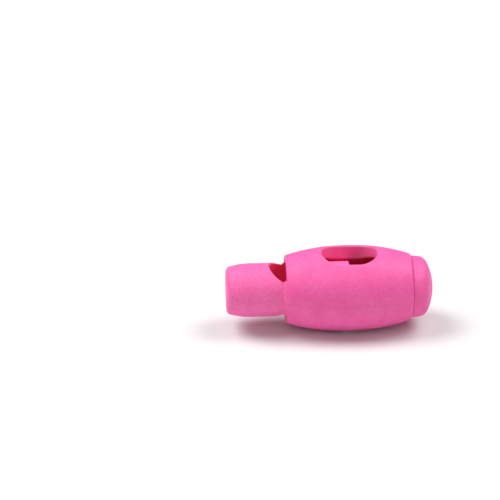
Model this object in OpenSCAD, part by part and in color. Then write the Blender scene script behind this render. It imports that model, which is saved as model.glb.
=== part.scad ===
// Spring-loaded cord lock. A bellied barrel has an oval cord window right through it,
// a sprung plunger with an oval cord tunnel slides in its bore, a domed cap closes the
// far end, and a compression spring between cap and plunger nips the cord.
// X runs along the bore, with the plunger's head towards -X. Z runs through the
// window. The origin is where those two axes cross.

/* [Barrel] */
// Diameter of the belly
belly_d = 12; // [11.6:0.1:13]
// Length of the straight band at the belly
belly_band = 0.8; // [0:0.1:2]
// Distance from the window's centre to the middle of the belly band, towards the mouth
belly_offset = 0.1; // [0:0.05:0.6]
// Distance from the window's centre to the mouth, where the plunger enters
mouth_reach = 8.9; // [8.8:0.05:9.1]
// Distance from the window's centre to the shoulder, where the end cap sits
shoulder_reach = 8.7; // [8.6:0.05:9]
// Radius of the long arc from the belly to the mouth
mouth_arc_r = 28.7; // [26:0.1:40]
// Radius of the long arc from the belly to the shoulder
shoulder_arc_r = 25.8; // [25:0.1:40]
// Rounding of the mouth's outer edge
mouth_round = 0.2; // [0.1:0.05:0.4]
// Rounding of the shoulder's outer edge
shoulder_round = 0.25; // [0.1:0.05:0.4]
// Diameter of the bore, which the plunger's collar slides in
bore_d = 8.2; // [8.18:0.01:8.24]

/* [Cord window] */
// Length of the oval window, along the barrel
window_length = 7.75; // [7.6:0.05:7.8]
// Width of the oval window, across the barrel
window_width = 5.6; // [5.2:0.1:5.8]

/* [Plunger] */
// Diameter of the plunger
plunger_d = 7.5; // [7.4:0.05:7.6]
// Distance from the window's centre to the head's face when the plunger is out
head_reach = 17.15; // [16.5:0.05:18]
// Length of the crowned stretch behind the head's face
crown_length = 3.4; // [2.5:0.1:4]
// Radius of the crown's arc
crown_arc_r = 10.7; // [10:0.1:16]
// Rounding of the head's edge
head_round = 0.45; // [0.3:0.05:0.6]
// Diameter of the collar that guides the plunger in the bore
collar_d = 8.06; // [8.02:0.01:8.12]
// Distance from the window's centre to the collar's outer end when the plunger is out
collar_reach = 9.35; // [9.2:0.05:9.5]
// Length of the collar, with its two slopes
collar_length = 5.15; // [4.8:0.05:5.2]
// Length of the slope at each end of the collar
collar_slope = 0.45; // [0.3:0.05:0.6]
// Length of the oval cord tunnel, along the plunger
tunnel_length = 6.7; // [6:0.1:6.8]
// Width of the cord tunnel, across the plunger
tunnel_width = 5.6; // [5:0.1:5.6]
// Distance from the window's centre to the tunnel's outer end when the plunger is out
tunnel_reach = 11.1; // [10.8:0.05:11.2]
// Diameter of the spring pocket in the plunger's inner end
pocket_d = 6; // [5.8:0.1:6.2]
// Depth of the spring pocket
pocket_depth = 2.4; // [2:0.1:2.5]

/* [Catch tabs] */
// Width of each tab, across the plunger
tab_width = 1.3; // [1:0.1:1.6]
// Length of each tab at its root, along the plunger
tab_length = 0.5; // [0.4:0.05:0.6]
// Length of each tab's flat crest
tab_crest = 0.2; // [0.1:0.05:0.3]
// Height of each tab above the plunger
tab_height = 0.7; // [0.5:0.05:0.9]

/* [End cap] */
// Diameter of the cap where it meets the shoulder
cap_d = 8.64; // [8.5:0.02:8.8]
// Diameter of the cap where its rounded edge starts
cap_edge_d = 8.44; // [8.3:0.02:8.5]
// Length of the cap outside the barrel
cap_length = 3; // [2.8:0.1:3.2]
// Radius of the cap's rounded edge
cap_round = 1.4; // [1.2:0.1:1.5]
// Radius of the shallow dome on the cap's face
dome_r = 7.8; // [7.5:0.1:9]
// Length of the spigot that is pressed into the bore
spigot_length = 1.5; // [1.2:0.1:1.5]
// Diameter of the spring well in the cap
well_d = 6; // [5.8:0.1:6.2]
// Thickness of the cap's face at its middle
cap_face = 1.1; // [1:0.1:1.3]

/* [Spring] */
// Diameter of the spring's wire
wire_d = 0.5; // [0.4:0.02:0.55]
// Outside diameter of the coil
coil_d = 5.36; // [5.2:0.02:5.5]
// Number of open turns
open_turns = 5.8; // [5:0.1:6.5]

/* [Hidden] */
$fn = 96;

belly_r = belly_d / 2;
bore_r = bore_d / 2;
plunger_r = plunger_d / 2;
collar_r = collar_d / 2;
cut = 1; // how far a cutting solid runs past the face that it opens
slip = 0.02; // gap between faces of two pieces that only just meet

mouth_x = -mouth_reach;
shoulder_x = shoulder_reach;
head_x = -head_reach;
inner_end_x = 0;
collar_x = -collar_reach;
tunnel_x = tunnel_length / 2 - tunnel_reach;
pocket_floor_x = inner_end_x - pocket_depth;
well_floor_x = shoulder_x + cap_length - cap_face;

// How far the window's curved end comes in at the corners of a tab
tab_sag = window_width / 2 - sqrt(pow(window_width / 2, 2) - pow(tab_width / 2, 2));
tab_x = tab_sag + slip - window_length / 2;

// The cap's edge circle touches the dome from inside and the cap's side
edge_centre_r = cap_edge_d / 2 - cap_round;
dome_centre = cap_length - dome_r;
edge_centre = dome_centre + sqrt(pow(dome_r - cap_round, 2) - pow(edge_centre_r, 2));
dome_rim_r = edge_centre_r * dome_r / (dome_r - cap_round);

// The spring has one closed turn at each end, and fills the room between its seats
coil_r = (coil_d - wire_d) / 2;
closed_pitch = wire_d + slip;
spring_start = pocket_floor_x + wire_d / 2 + slip;
spring_end = well_floor_x - wire_d / 2 - slip;
open_pitch = (spring_end - spring_start - 2 * closed_pitch) / open_turns;
total_turns = open_turns + 2;
steps_per_turn = 20;
wire_sides = 8;

plastic = [0.93, 0.36, 0.66];
steel = [0.75, 0.75, 0.77];

// ---- outlines, drawn as [distance from the axis, distance along it] ----

// Half of a bellied body: a long arc that leaves max_r square to the end plane, and a
// corner circle that touches both the arc and that plane
module bellied_half(max_r, reach, arc_r, corner_r) {
    core_r = max_r - arc_r + sqrt(pow(arc_r - corner_r, 2) - pow(reach - corner_r, 2));
    corner_start = (reach - corner_r) * arc_r / (arc_r - corner_r);
    intersection() {
        translate([max_r - arc_r, 0]) circle(r = arc_r);
        square([max_r + 1, corner_start]);
    }
    translate([core_r, reach - corner_r]) circle(r = corner_r);
    square([core_r, reach]);
}

module barrel_outline() {
    mouth_side = -belly_offset - belly_band / 2;
    shoulder_side = -belly_offset + belly_band / 2;
    translate([0, mouth_side]) mirror([0, 1])
        bellied_half(belly_r, mouth_side - mouth_x, mouth_arc_r, mouth_round);
    translate([0, mouth_side - slip]) square([belly_r, belly_band + 2 * slip]);
    translate([0, shoulder_side])
        bellied_half(belly_r, shoulder_x - shoulder_side, shoulder_arc_r, shoulder_round);
}

module plunger_outline() {
    crown_x = head_x + crown_length;
    translate([0, crown_x]) mirror([0, 1])
        bellied_half(plunger_r, crown_length, crown_arc_r, head_round);
    translate([0, crown_x - slip]) square([plunger_r, inner_end_x - crown_x + slip]);
    collar_outline();
}

// Band round the plunger, sloped at both ends
module collar_outline() {
    collar_end = collar_x + collar_length;
    polygon([
        [0, collar_x],
        [plunger_r, collar_x],
        [collar_r, collar_x + collar_slope],
        [collar_r, collar_end - collar_slope],
        [plunger_r, collar_end],
        [0, collar_end],
    ]);
}

// Outside of the cap, from the shoulder to the dome
module cap_outline() {
    polygon([[0, 0], [cap_d / 2, 0], [cap_edge_d / 2, edge_centre], [0, edge_centre]]);
    intersection() {
        translate([edge_centre_r, edge_centre]) circle(r = cap_round);
        square([belly_r, cap_length]);
    }
    intersection() {
        translate([0, dome_centre]) circle(r = dome_r);
        square([dome_rim_r, cap_length]);
    }
}

// Turns an outline about the X axis
module turned() {
    rotate([0, 90, 0]) rotate_extrude() children();
}

// Straight round bar along X
module bar(r, from_x, to_x) {
    translate([from_x, 0, 0]) rotate([0, 90, 0]) cylinder(r = r, h = to_x - from_x);
}

// Oval hole along Z with round ends, centred on x
module oval_hole(x, length, width) {
    height = belly_d + 2 * cut;
    straight = length - width;
    for (end_x = [-straight / 2, straight / 2])
        translate([x + end_x, 0, 0]) cylinder(d = width, h = height, center = true);
    translate([x, 0, 0]) cube([straight, width, height], center = true);
}

// ---- barrel ----

module barrel() {
    color(plastic) {
        difference() {
            turned() barrel_outline();
            bar(bore_r, mouth_x - cut, shoulder_x + cut);
            oval_hole(0, window_length, window_width);
        }
    }
}

// ---- end cap ----

module end_cap() {
    color(plastic) {
        difference() {
            union() {
                translate([shoulder_x, 0, 0]) turned() cap_outline();
                bar(bore_r, shoulder_x - spigot_length, shoulder_x + slip);
            }
            bar(well_d / 2, shoulder_x - spigot_length - cut, well_floor_x);
        }
    }
}

// ---- plunger ----

// Tab that rides in the window: square towards the mouth, sloped towards the cap
module catch_tab() {
    root_z = plunger_r - 0.3;
    crest_z = plunger_r + tab_height;
    profile = [
        [tab_x, root_z],
        [tab_x, crest_z],
        [tab_x + tab_crest, crest_z],
        [tab_x + tab_length, plunger_r],
        [tab_x + tab_length, root_z],
    ];
    rotate([90, 0, 0]) linear_extrude(height = tab_width, center = true) polygon(profile);
}

module plunger() {
    color(plastic) {
        difference() {
            turned() plunger_outline();
            oval_hole(tunnel_x, tunnel_length, tunnel_width);
            bar(pocket_d / 2, pocket_floor_x, inner_end_x + cut);
        }
        catch_tab();
        mirror([0, 0, 1]) catch_tab();
    }
}

// ---- spring ----

// Position along X of the wire's centre after a number of turns
function coil_x(turn) =
    spring_start
    + closed_pitch * min(turn, 1)
    + open_pitch * min(max(turn - 1, 0), open_turns)
    + closed_pitch * max(turn - 1 - open_turns, 0);

// Ring of points round the wire, square to the coil
function wire_ring(turn) = [
    for (side = [0 : wire_sides - 1])
        let (
            lean = 360 * side / wire_sides,
            r = coil_r + wire_d / 2 * cos(lean),
            x = coil_x(turn) + wire_d / 2 * sin(lean)
        )
            [x, r * cos(360 * turn), r * sin(360 * turn)]
];

module spring() {
    ring_count = ceil(total_turns * steps_per_turn) + 1;
    turns = [for (i = [0 : ring_count - 1]) total_turns * i / (ring_count - 1)];
    points = [for (turn = turns) each wire_ring(turn)];
    walls = [
        for (i = [0 : ring_count - 2], side = [0 : wire_sides - 1])
            let (next = (side + 1) % wire_sides, a = i * wire_sides, b = a + wire_sides)
                [a + side, a + next, b + next, b + side]
    ];
    last = (ring_count - 1) * wire_sides;
    start_face = [for (side = [wire_sides - 1 : -1 : 0]) side];
    end_face = [for (side = [0 : wire_sides - 1]) last + side];
    color(steel) polyhedron(points = points, faces = concat(walls, [start_face, end_face]));
}

barrel();
end_cap();
plunger();
spring();
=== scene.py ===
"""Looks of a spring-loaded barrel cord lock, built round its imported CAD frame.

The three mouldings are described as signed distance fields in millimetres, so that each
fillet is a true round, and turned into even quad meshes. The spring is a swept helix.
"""

import math

import bpy
import numpy as np
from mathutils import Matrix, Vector


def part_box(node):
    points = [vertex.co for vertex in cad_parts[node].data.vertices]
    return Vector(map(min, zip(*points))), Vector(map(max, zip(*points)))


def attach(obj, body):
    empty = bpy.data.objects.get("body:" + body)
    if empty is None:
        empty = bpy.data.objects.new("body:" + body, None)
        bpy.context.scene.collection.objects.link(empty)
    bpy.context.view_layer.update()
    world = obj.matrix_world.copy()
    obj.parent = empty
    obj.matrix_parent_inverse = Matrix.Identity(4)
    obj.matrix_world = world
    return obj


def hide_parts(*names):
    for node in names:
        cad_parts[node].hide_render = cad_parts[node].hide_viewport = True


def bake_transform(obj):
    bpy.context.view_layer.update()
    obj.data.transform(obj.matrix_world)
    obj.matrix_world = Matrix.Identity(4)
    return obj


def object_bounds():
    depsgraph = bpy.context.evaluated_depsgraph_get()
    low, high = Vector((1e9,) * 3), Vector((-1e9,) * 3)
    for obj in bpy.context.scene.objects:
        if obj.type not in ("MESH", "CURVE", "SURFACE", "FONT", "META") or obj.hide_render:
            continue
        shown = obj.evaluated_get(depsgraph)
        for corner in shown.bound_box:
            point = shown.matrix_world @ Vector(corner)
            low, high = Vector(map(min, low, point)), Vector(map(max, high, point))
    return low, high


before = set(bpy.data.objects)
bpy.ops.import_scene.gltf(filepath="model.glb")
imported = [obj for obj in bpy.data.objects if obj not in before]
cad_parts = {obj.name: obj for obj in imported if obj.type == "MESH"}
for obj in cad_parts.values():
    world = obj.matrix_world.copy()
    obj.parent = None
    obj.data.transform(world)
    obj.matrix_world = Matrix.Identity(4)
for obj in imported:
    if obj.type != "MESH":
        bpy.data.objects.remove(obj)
cad_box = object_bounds()

MM = 0.001
CELL = 0.12  # grid pitch of the moulded meshes, mm
# painted shade: how far into a hole the painted crimson shade takes to build up
HOLE_SHADE_FADE = 0.5  # how far a hole's colour takes to turn from pink to crimson, mm


# ---------------------------------------------------------------- sizes, in millimetres


def span(node):
    """Lowest and highest corner of a CAD node, in millimetres."""
    low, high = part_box(node)
    return np.array(low) / MM, np.array(high) / MM


BARREL_LOW, BARREL_HIGH = span("barrel")
CAP_LOW, CAP_HIGH = span("end_cap")
PLUNGER_LOW, PLUNGER_HIGH = span("plunger")
SPRING_LOW, SPRING_HIGH = span("spring")

BELLY_R = 6.0
BELLY_FROM, BELLY_TO = -0.5, 0.3
MOUTH_ARC_R, SHOULDER_ARC_R = 28.7, 25.8
MOUTH_X, SHOULDER_X = BARREL_LOW[0], BARREL_HIGH[0]
MOUTH_ROUND, SHOULDER_ROUND = 0.2, 0.25
BORE_R = 4.1
WINDOW_LENGTH, WINDOW_WIDTH, WINDOW_ROUND = 7.75, 5.6, 0.4

PLUNGER_R = 3.75
HEAD_X = PLUNGER_LOW[0]
CROWN_LENGTH, CROWN_ARC_R, HEAD_ROUND = 3.4, 10.7, 0.45
COLLAR_R, COLLAR_FROM, COLLAR_TO, COLLAR_SLOPE = 4.03, -9.35, -4.2, 0.45
TUNNEL_X, TUNNEL_LENGTH, TUNNEL_WIDTH, TUNNEL_ROUND = -7.75, 6.7, 5.6, 0.25
POCKET_R, POCKET_DEPTH, POCKET_ROUND = 3.0, 2.4, 0.1
TAB_X, TAB_LENGTH, TAB_WIDTH, TAB_ROUND = -3.78, 0.5, 1.3, 0.08
TAB_TOP = PLUNGER_HIGH[2]
TAB_RAMP = 0.92, 0.39  # the sloped face's outward direction, along X and away from the axis
TAB_ROOT, TAB_FILLET = 0.4, 0.05  # how deep the tabs reach into the plunger, and their fillet

CAP_X = CAP_HIGH[0]
CAP_R, CAP_EDGE_R = 4.32, 4.22
CAP_ROUND, DOME_R = 1.4, 7.8
CAP_TAPER_LENGTH = 1.7
SEAM_GAP = 0.01  # between the cap's rim and the barrel's shoulder
SPIGOT_LENGTH, WELL_R, WELL_FLOOR_X = 1.5, 3.0, 10.6
SPIGOT_ROOT = 0.5  # how far the spigot's solid reaches into the cap

WIRE_R = 0.25
OPEN_TURNS, CLOSED_TURNS = 5.8, 1.0
CLOSED_GAP = 0.02  # between neighbouring turns at the closed ends
WIRE_END_R = 0.175  # of the wire's chamfered ends

EDGE_BREAK = 0.12  # round of the edges that are nominally sharp
TEXTURE_FADE = 0.2  # how far the frosted texture takes to fade out at a piece's edges
PARTING_HEIGHT = 0.02  # flash line left where the mould's halves meet, at z = 0


# ---------------------------------------------------------------- distance fields


def both(a, b, edge):
    """Where two solids overlap, with their shared edge rounded to a radius."""
    rounding = np.hypot(np.maximum(a + edge, 0), np.maximum(b + edge, 0))
    return np.minimum(np.maximum(a, b), -edge) + rounding


def either(a, b, corner):
    """Two solids joined, with the inside corner between them filled to a radius."""
    filling = np.hypot(np.maximum(corner - a, 0), np.maximum(corner - b, 0))
    return np.maximum(np.minimum(a, b), corner) - filling


def fade(value, start, end):
    """0 at start, 1 at end, smooth between."""
    share = np.clip((value - start) / (end - start), 0, 1)
    return share * share * (3 - 2 * share)


def oval(x, y, centre, length, width):
    """Endless oval bar along Z."""
    beyond = np.maximum(np.abs(x - centre) - (length - width) / 2, 0)
    return np.hypot(beyond, y) - width / 2


def arc_side(x, r, largest, start, arc_r):
    """Surface of revolution whose radius falls away along an arc past start."""
    return np.hypot(np.maximum(x - start, 0), r - largest + arc_r) - arc_r


def barrel_field(x, y, z):
    r = np.hypot(y, z)
    mouth_arc = arc_side(-x, r, BELLY_R, -BELLY_FROM, MOUTH_ARC_R)
    shoulder_arc = arc_side(x, r, BELLY_R, BELLY_TO, SHOULDER_ARC_R)
    solid = np.maximum(mouth_arc, shoulder_arc)
    solid = both(solid, MOUTH_X - x, MOUTH_ROUND)
    solid = both(solid, x - SHOULDER_X, SHOULDER_ROUND)
    solid = both(solid, -oval(x, y, 0, WINDOW_LENGTH, WINDOW_WIDTH), WINDOW_ROUND)
    return both(solid, BORE_R - r, EDGE_BREAK)


def cap_field(x, y, z):
    """The rounded edge is a circle that touches the dome from inside, and the side."""
    r = np.hypot(y, z)
    along = x - SHOULDER_X
    centre_r = CAP_EDGE_R - CAP_ROUND
    reach = math.sqrt((DOME_R - CAP_ROUND) ** 2 - centre_r**2)
    past, out = x - (CAP_X - DOME_R + reach), r - centre_r
    side = r - CAP_R + (CAP_R - CAP_EDGE_R) * np.clip(along / CAP_TAPER_LENGTH, 0, 1)
    dome = np.hypot(past + reach, r) - DOME_R
    edge = np.hypot(past, out) - CAP_ROUND
    solid = np.where(past < 0, side, np.where(out * reach > past * centre_r, edge, dome))
    solid = both(solid, SEAM_GAP - along, EDGE_BREAK)
    spigot = np.maximum(r - BORE_R, -SPIGOT_LENGTH - along)
    spigot = np.maximum(spigot, along - SPIGOT_ROOT)
    solid = np.minimum(solid, spigot)
    well = np.maximum(r - WELL_R, x - WELL_FLOOR_X)
    return both(solid, -well, EDGE_BREAK)


def tab_field(x, y, z):
    """The two catch tabs, square towards the mouth and sloped towards the cap."""
    height = np.abs(z)
    ramp = (x - TAB_X - TAB_LENGTH) * TAB_RAMP[0] + (height - PLUNGER_R) * TAB_RAMP[1]
    tab = both(TAB_X - x, height - TAB_TOP, TAB_ROUND)
    tab = both(tab, ramp, TAB_ROUND)
    tab = both(tab, np.abs(y) - TAB_WIDTH / 2, TAB_ROUND)
    return np.maximum(tab, PLUNGER_R - TAB_ROOT - height)


def plunger_field(x, y, z):
    r = np.hypot(y, z)
    solid = arc_side(-x, r, PLUNGER_R, -HEAD_X - CROWN_LENGTH, CROWN_ARC_R)
    swell = fade(x, COLLAR_FROM, COLLAR_FROM + COLLAR_SLOPE)
    swell = swell * fade(x, COLLAR_TO, COLLAR_TO - COLLAR_SLOPE)
    solid = solid - (COLLAR_R - PLUNGER_R) * swell
    solid = both(solid, HEAD_X - x, HEAD_ROUND)
    solid = both(solid, x, EDGE_BREAK)
    tunnel = oval(x, y, TUNNEL_X, TUNNEL_LENGTH, TUNNEL_WIDTH)
    solid = both(solid, -tunnel, TUNNEL_ROUND)
    pocket = np.maximum(r - POCKET_R, -POCKET_DEPTH - x)
    solid = both(solid, -pocket, POCKET_ROUND)
    return either(solid, tab_field(x, y, z), TAB_FILLET)


# ---------------------------------------------------------------- meshes


def outward(field, points, step=1e-4):
    """The field at each point and its slope there."""
    slope = np.empty_like(points)
    for axis in range(3):
        ahead, behind = points.copy(), points.copy()
        ahead[:, axis] += step
        behind[:, axis] -= step
        slope[:, axis] = (field(*ahead.T) - field(*behind.T)) / (2 * step)
    return field(*points.T), slope


def onto_surface(field, points, rounds):
    """Moves points along the slope until the field is zero there."""
    for _ in range(rounds):
        value, slope = outward(field, points)
        steep = np.maximum((slope**2).sum(1), 0.25)
        shift = np.clip(value / steep, -CELL, CELL)
        points = points - shift[:, None] * slope
    return points


def cells_round_edge(where, axis, shape):
    """The four grid cells that share each edge, in order about the edge's direction."""
    before, after = (axis + 1) % 3, (axis + 2) % 3
    corners = []
    for back, down in ((1, 1), (0, 1), (0, 0), (1, 0)):
        cell = where.copy()
        cell[:, before] -= back
        cell[:, after] -= down
        corners.append(np.ravel_multi_index(cell.T, shape))
    return np.stack(corners, 1)


def surface_net(field, low, high):
    """Points and outward-facing quads of the field's zero surface.
    The grid has a layer of cells centred on each middle plane, so a symmetric solid gets
    a row of points exactly on z = 0."""
    first = np.floor(np.array(low) / CELL - 1.5) + 0.5
    count = np.ceil(np.array(high) / CELL + 2 - first).astype(int)
    lines = [CELL * (first[i] + np.arange(count[i])) for i in range(3)]
    value = field(*np.meshgrid(*lines, indexing="ij", sparse=True))
    shape = tuple(count)
    total = np.zeros((value.size, 3))
    hits = np.zeros(value.size)
    quads = []
    for axis in range(3):
        near = np.take(value, range(count[axis] - 1), axis)
        far = np.take(value, range(1, count[axis]), axis)
        where = np.argwhere((near < 0) != (far < 0))
        a, b = near[tuple(where.T)], far[tuple(where.T)]
        point = CELL * (first + where)
        point[:, axis] += CELL * a / (a - b)
        cells = cells_round_edge(where, axis, shape)
        for side in range(4):
            hits += np.bincount(cells[:, side], minlength=value.size)
            for k in range(3):
                total[:, k] += np.bincount(cells[:, side], point[:, k], value.size)
        quads.append(np.where((a < 0)[:, None], cells, cells[:, ::-1]))
    used = np.flatnonzero(hits)
    number = np.zeros(value.size, int)
    number[used] = np.arange(len(used))
    return total[used] / hits[used, None], number[np.concatenate(quads)]


def evened(field, points, quads):
    """Spreads the points evenly over the surface, and puts them exactly on it."""
    points = onto_surface(field, points, 3)
    ends = np.concatenate([quads[:, [i, (i + 1) % 4]] for i in range(4)])
    degree = np.bincount(ends.ravel(), minlength=len(points))[:, None]
    for _ in range(4):
        middle = np.zeros_like(points)
        for k in range(3):
            middle[:, k] += np.bincount(ends[:, 0], points[ends[:, 1], k], len(points))
            middle[:, k] += np.bincount(ends[:, 1], points[ends[:, 0], k], len(points))
        points = onto_surface(field, (points + middle / degree) / 2, 2)
    return points


def parting_line(points, slope, outside):
    """1 on the row of points at z = 0, where the mould's halves met, and 0 elsewhere."""
    flat = np.abs(slope[:, 2]) < 0.3
    row = (np.abs(points[:, 2]) < CELL / 4) & flat & (outside > 0.5)
    return row.astype(float)


def mesh_object(name, points, faces):
    """Smooth-shaded mesh from points in millimetres."""
    mesh = bpy.data.meshes.new(name)
    mesh.from_pydata((points * MM).tolist(), [], faces)
    mesh.update()
    mesh.shade_smooth()
    piece = bpy.data.objects.new(name, mesh)
    bpy.context.scene.collection.objects.link(piece)
    return piece


def moulding(name, field, low, high, outside, radius, has_parting_line):
    """A moulded piece. Its attribute frost_and_hole_shade is 1 on the textured outside and 0 in the
    holes, which get painted crimson shade;
    hole_shade, how strong that painted shade is, grows from 0 at the radius to 1 further in, and
    seam is 1 along the parting line."""
    points, quads = surface_net(field, low, high)
    points = evened(field, points, quads)
    slope = outward(field, points)[1]
    # 1 outside, and 0 in the holes, which get painted crimson shade
    frost_and_hole_shade = outside(points)
    seam = parting_line(points, slope, frost_and_hole_shade) * has_parting_line
    points = points + PARTING_HEIGHT * slope * seam[:, None]
    piece = mesh_object(name, points, quads.tolist())
    # painted shade: how far into a hole a point lies, for its crimson shade
    hole_shade = fade(np.hypot(points[:, 1], points[:, 2]), radius, radius - HOLE_SHADE_FADE)
    for layer_name, values in (("frost_and_hole_shade", frost_and_hole_shade), ("hole_shade", hole_shade), ("seam", seam)):
        layer = piece.data.attributes.new(layer_name, "FLOAT", "POINT")
        layer.data.foreach_set("value", values.astype(np.float32))
    return piece


def outside_of_barrel(points):
    x, y, z = points.T
    clear_of_window = fade(oval(x, y, 0, WINDOW_LENGTH, WINDOW_WIDTH), 0, WINDOW_ROUND)
    return clear_of_window * fade(np.hypot(y, z), BORE_R, BORE_R + TEXTURE_FADE)


def outside_of_plunger(points):
    x, y, z = points.T
    tunnel = oval(x, y, TUNNEL_X, TUNNEL_LENGTH, TUNNEL_WIDTH)
    side = fade(np.hypot(y, z), POCKET_R + TEXTURE_FADE, POCKET_R + 2 * TEXTURE_FADE)
    head_face = fade(x, HEAD_X + 1, HEAD_X + 0.5)
    return fade(tunnel, 0, TUNNEL_ROUND) * np.maximum(side, head_face)


def outside_of_cap(points):
    return fade(points[:, 0], SHOULDER_X - TEXTURE_FADE, SHOULDER_X)


def make_barrel():
    """Painted crimson shade in the bore, and pink again just outside it."""
    radius = BORE_R + 0.4
    piece = moulding(
        "barrel_shell", barrel_field, BARREL_LOW, BARREL_HIGH, outside_of_barrel, radius, True
    )
    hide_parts("barrel")
    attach(piece, "barrel")
    return piece


def make_cap():
    piece = moulding(
        "cap_shell", cap_field, CAP_LOW, CAP_HIGH, outside_of_cap, WELL_R, False
    )
    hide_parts("end_cap")
    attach(piece, "barrel")
    return piece


def make_plunger():
    """Painted crimson shade all through its holes, since the radius lies outside the piece."""
    radius = COLLAR_R + 1
    piece = moulding(
        "plunger_button", plunger_field, PLUNGER_LOW, PLUNGER_HIGH, outside_of_plunger, radius, True
    )
    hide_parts("plunger")
    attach(piece, "plunger")
    return piece


# ---------------------------------------------------------------- spring


def spring_line():
    """The wire's centre line, a right-hand helix from the plunger's end to the cap's, and
    the turn that each point is at. It has a closed turn at each end."""
    steps_per_turn = 48
    turns = OPEN_TURNS + 2 * CLOSED_TURNS
    start, end = SPRING_LOW[0] + WIRE_R, SPRING_HIGH[0] - WIRE_R
    closed_pitch = 2 * WIRE_R + CLOSED_GAP
    open_pitch = (end - start - 2 * CLOSED_TURNS * closed_pitch) / OPEN_TURNS

    turn = np.linspace(0, turns, int(turns * steps_per_turn) + 1)
    lead_in = fade(turn, CLOSED_TURNS * 0.7, CLOSED_TURNS * 1.3)
    lead_out = fade(turns - turn, CLOSED_TURNS * 0.7, CLOSED_TURNS * 1.3)
    rise = closed_pitch + (open_pitch - closed_pitch) * lead_in * lead_out
    along = np.concatenate([[0], np.cumsum((rise[1:] + rise[:-1]) / 2 * np.diff(turn))])
    return turn, start + along * (end - start) / along[-1]


def spring_rings(turn, along, sides):
    """Points round the wire, one ring for each point of its centre line."""
    coil_r = SPRING_HIGH[1] - WIRE_R
    angle = 2 * math.pi * turn
    out = np.stack([0 * angle, np.cos(angle), np.sin(angle)], 1)
    centre = coil_r * out + along[:, None] * np.array([1.0, 0, 0])
    tangent = np.gradient(centre, axis=0)
    tangent /= np.linalg.norm(tangent, axis=1)[:, None]
    across = np.cross(tangent, out)
    # the first and last rings are smaller, which chamfers the wire's cut ends
    ring_r = np.full(len(turn), WIRE_R)
    ring_r[[0, -1]] = WIRE_END_R
    lean = 2 * math.pi * np.arange(sides) / sides
    outwards = np.cos(lean)[None, :, None] * out[:, None]
    sideways = np.sin(lean)[None, :, None] * across[:, None]
    return (centre[:, None] + ring_r[:, None, None] * (outwards + sideways)).reshape(-1, 3)


def tube_faces(rings, sides):
    """Quads between neighbouring rings, and a cap on the first and last."""
    first = np.arange(rings - 1)[:, None] * sides
    side = np.arange(sides)[None]
    beside = (side + 1) % sides
    corners = [first + side, first + beside, first + sides + beside, first + sides + side]
    faces = np.stack(corners, -1).reshape(-1, 4).tolist()
    faces.append(list(range(sides))[::-1])
    faces.append(list(range((rings - 1) * sides, rings * sides)))
    return faces


def make_spring():
    sides = 16
    turn, along = spring_line()
    points = spring_rings(turn, along, sides)
    piece = mesh_object("coil_spring", points, tube_faces(len(turn), sides))

    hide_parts("spring")
    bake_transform(piece)
    return piece


# ---------------------------------------------------------------- materials


class Nodes:
    """Short calls for building one material's nodes."""

    def __init__(self, name):
        self.material = bpy.data.materials.new(name)
        self.material.use_nodes = True
        self.tree = self.material.node_tree
        self.shader = self.tree.nodes["Principled BSDF"]

    def add(self, kind, inputs=None, **settings):
        node = self.tree.nodes.new(kind)
        for key, value in settings.items():
            setattr(node, key, value)
        for key, value in (inputs or {}).items():
            self.plug(value, node.inputs[key])
        return node

    def plug(self, value, socket):
        if isinstance(value, bpy.types.NodeSocket):
            self.tree.links.new(value, socket)
        else:
            socket.default_value = value

    def math(self, operation, a, b=0.0):
        node = self.add("ShaderNodeMath", {0: a, 1: b}, operation=operation)
        return node.outputs[0]

    def noise(self, where, scale, detail=2.0, roughness=0.5):
        node = self.add(
            "ShaderNodeTexNoise",
            {"Vector": where, "Scale": scale, "Detail": detail, "Roughness": roughness},
        )
        return node.outputs["Fac"]

    def mix(self, factor, a, b):
        node = self.add("ShaderNodeMix", data_type="RGBA")
        self.plug(factor, node.inputs[0])
        self.plug(a, node.inputs[6])
        self.plug(b, node.inputs[7])
        return node.outputs[2]

    def between(self, value, low, high):
        node = self.add(
            "ShaderNodeMapRange", {"Value": value, "To Min": low, "To Max": high}
        )
        return node.outputs[0]


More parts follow.
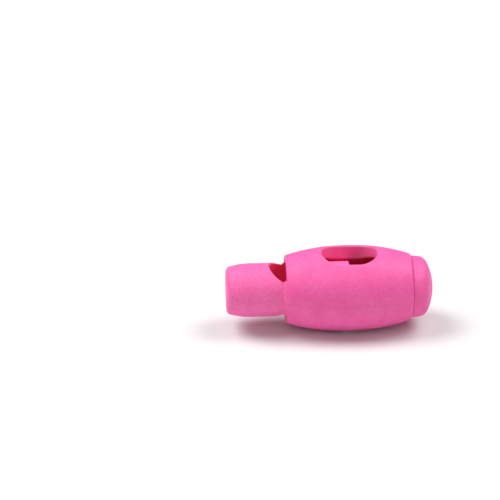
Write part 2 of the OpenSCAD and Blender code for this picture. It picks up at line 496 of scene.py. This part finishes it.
def pink_plastic(name, shift, painted_sheen, deep_shade):
    """Frosted candy-pink moulding: fine spark texture outside, smoother in the holes, which are
    painted in crimson shade.
    The shift moves the texture along X, so that no two pieces have the same pattern."""
    n = Nodes(name)
    where = n.add("ShaderNodeTexCoord").outputs["Object"]
    where = n.add(
        "ShaderNodeMapping", {"Vector": where, "Location": (shift, 0, 0)}
    ).outputs[0]
    frost_and_hole_shade = n.add("ShaderNodeAttribute", attribute_name="frost_and_hole_shade").outputs["Fac"]
    hole_shade = n.add("ShaderNodeAttribute", attribute_name="hole_shade").outputs["Fac"]
    seam = n.add("ShaderNodeAttribute", attribute_name="seam").outputs["Fac"]

    cloud = n.noise(where, 420.0, 3.0)
    speck = n.noise(where, 5000.0, 2.0, 0.6)
    clouded = n.between(cloud, -0.5, 1.5)
    colour = n.mix(clouded, (0.86, 0.10, 0.37, 1), (0.92, 0.15, 0.44, 1))
    # painted highlight: the piece is painted paler all over, standing in for the sheen on the
    # plunger's lit top
    colour = n.mix(painted_sheen, colour, (0.94, 0.30, 0.58, 1))
    colour = n.mix(n.between(speck, -1.3, 1.7), colour, (0.84, 0.06, 0.29, 1))
    colour = n.mix(n.math("MULTIPLY", seam, 0.18), colour, (0.62, 0.03, 0.22, 1))
    # painted shade: the holes are painted crimson, deeper further in, standing in for their shade
    # and the red light soaked through the walls
    shaded_crimson = n.mix(hole_shade, (1.0, 0.155, 0.43, 1), deep_shade)
    colour = n.mix(frost_and_hole_shade, shaded_crimson, colour)
    n.plug(colour, n.shader.inputs["Base Color"])

    grain = n.noise(where, 5200.0, 1.0)
    roughness = n.between(n.math("MULTIPLY", frost_and_hole_shade, n.math("ADD", grain, 0.5)), 0.34, 0.56)
    n.plug(roughness, n.shader.inputs["Roughness"])
    height = n.math("ADD", grain, n.math("MULTIPLY", speck, 0.8))
    bump = n.add(
        "ShaderNodeBump",
        {
            "Height": height,
            "Strength": n.math("MULTIPLY", frost_and_hole_shade, 0.35),
            "Distance": 0.00003,
        },
    )
    n.plug(bump.outputs[0], n.shader.inputs["Normal"])
    n.shader.inputs["Subsurface Weight"].default_value = 0.35
    n.shader.inputs["Subsurface Radius"].default_value = (1.0, 0.25, 0.5)
    n.shader.inputs["Subsurface Scale"].default_value = 0.0008
    n.shader.inputs["IOR"].default_value = 1.49
    return n.material


def spring_wire():
    """Bright drawn steel wire with faint die lines."""
    n = Nodes("spring_wire")
    where = n.add("ShaderNodeTexCoord").outputs["Object"]
    stain = n.noise(where, 900.0, 3.0)
    colour = n.mix(stain, (0.62, 0.60, 0.57, 1), (0.80, 0.79, 0.77, 1))
    n.plug(colour, n.shader.inputs["Base Color"])
    n.plug(n.between(stain, 0.16, 0.34), n.shader.inputs["Roughness"])
    bump = n.add(
        "ShaderNodeBump",
        {"Height": n.noise(where, 6000.0), "Strength": 0.12, "Distance": 0.00002},
    )
    n.plug(bump.outputs[0], n.shader.inputs["Normal"])
    n.shader.inputs["Metallic"].default_value = 1.0
    return n.material


def floor_paper():
    """Smooth white card."""
    n = Nodes("floor_paper")
    where = n.add("ShaderNodeTexCoord").outputs["Object"]
    fibre = n.noise(where, 300.0, 3.0)
    colour = n.mix(fibre, (0.80, 0.80, 0.80, 1), (0.82, 0.82, 0.82, 1))
    n.plug(colour, n.shader.inputs["Base Color"])
    n.shader.inputs["Roughness"].default_value = 0.6
    n.shader.inputs["Specular IOR Level"].default_value = 0.2
    return n.material


# ---------------------------------------------------------------- studio


def make_floor():
    half = 1.5
    level = cad_box[0].z
    corners = [(-half, -half), (half, -half), (half, half), (-half, half)]
    mesh = bpy.data.meshes.new("floor")
    mesh.from_pydata([(x, y, level) for x, y in corners], [], [(0, 1, 2, 3)])
    floor = bpy.data.objects.new("floor", mesh)
    bpy.context.scene.collection.objects.link(floor)
    mesh.materials.append(floor_paper())


def area_light(name, place, aim, size, power):
    light = bpy.data.lights.new(name, "AREA")
    light.shape = "DISK"
    light.size = size
    light.energy = power
    lamp = bpy.data.objects.new(name, light)
    lamp.location = place
    direction = Vector(aim) - Vector(place)
    lamp.rotation_euler = direction.to_track_quat("-Z", "Y").to_euler()
    bpy.context.scene.collection.objects.link(lamp)


def make_studio():
    make_floor()
    area_light("left_softbox", (-0.3, 0.06, 0.44), (0, 0, 0), 0.38, 2.42)
    area_light("right_softbox", (0.28, 0.06, 0.44), (0, 0, 0), 0.38, 1.85)
    area_light("front_fill", (-0.03, -0.42, 0.36), (0, 0, 0), 0.4, 0.5)
    world = bpy.data.worlds.new("studio")
    world.use_nodes = True
    sky = world.node_tree.nodes["Background"]
    sky.inputs["Color"].default_value = (1, 1, 1, 1)
    sky.inputs["Strength"].default_value = 0.2
    bpy.context.scene.world = world
    bpy.context.scene.view_settings.view_transform = "Standard"


def make_camera():
    """A long lens, looking down at the lock from in front and slightly to its left."""
    yaw, fall = math.radians(2.84), math.radians(27)
    lens = bpy.data.cameras.new("camera")
    lens.sensor_width = 36
    lens.lens = 216
    lens.clip_start = 0.01
    camera = bpy.data.objects.new("camera", lens)
    camera.location = Vector((-32.13, -369.53, 194.78)) * MM
    forward = Vector(
        (math.sin(yaw) * math.cos(fall), math.cos(yaw) * math.cos(fall), -math.sin(fall))
    )
    camera.rotation_euler = forward.to_track_quat("-Z", "Y").to_euler()
    bpy.context.scene.collection.objects.link(camera)
    bpy.context.scene.camera = camera


# ---------------------------------------------------------------- put together

make_camera()
make_studio()
# each moulding, how much paler than the barrel it is painted (a painted sheen, for the plunger's
# lit top), and its painted crimson shade deep in the holes
LOOKS = (
    (make_barrel, 0.0, (0.88, 0.02, 0.07, 1)),
    (make_cap, 0.0, (0.88, 0.02, 0.07, 1)),
    (make_plunger, 0.2, (1.0, 0.06, 0.20, 1)),
)
for number, (build, painted_sheen, deep_shade) in enumerate(LOOKS):
    piece = build()
    material = pink_plastic(piece.name + "_pink", number * 0.05, painted_sheen, deep_shade)
    piece.data.materials.append(material)
make_spring().data.materials.append(spring_wire())
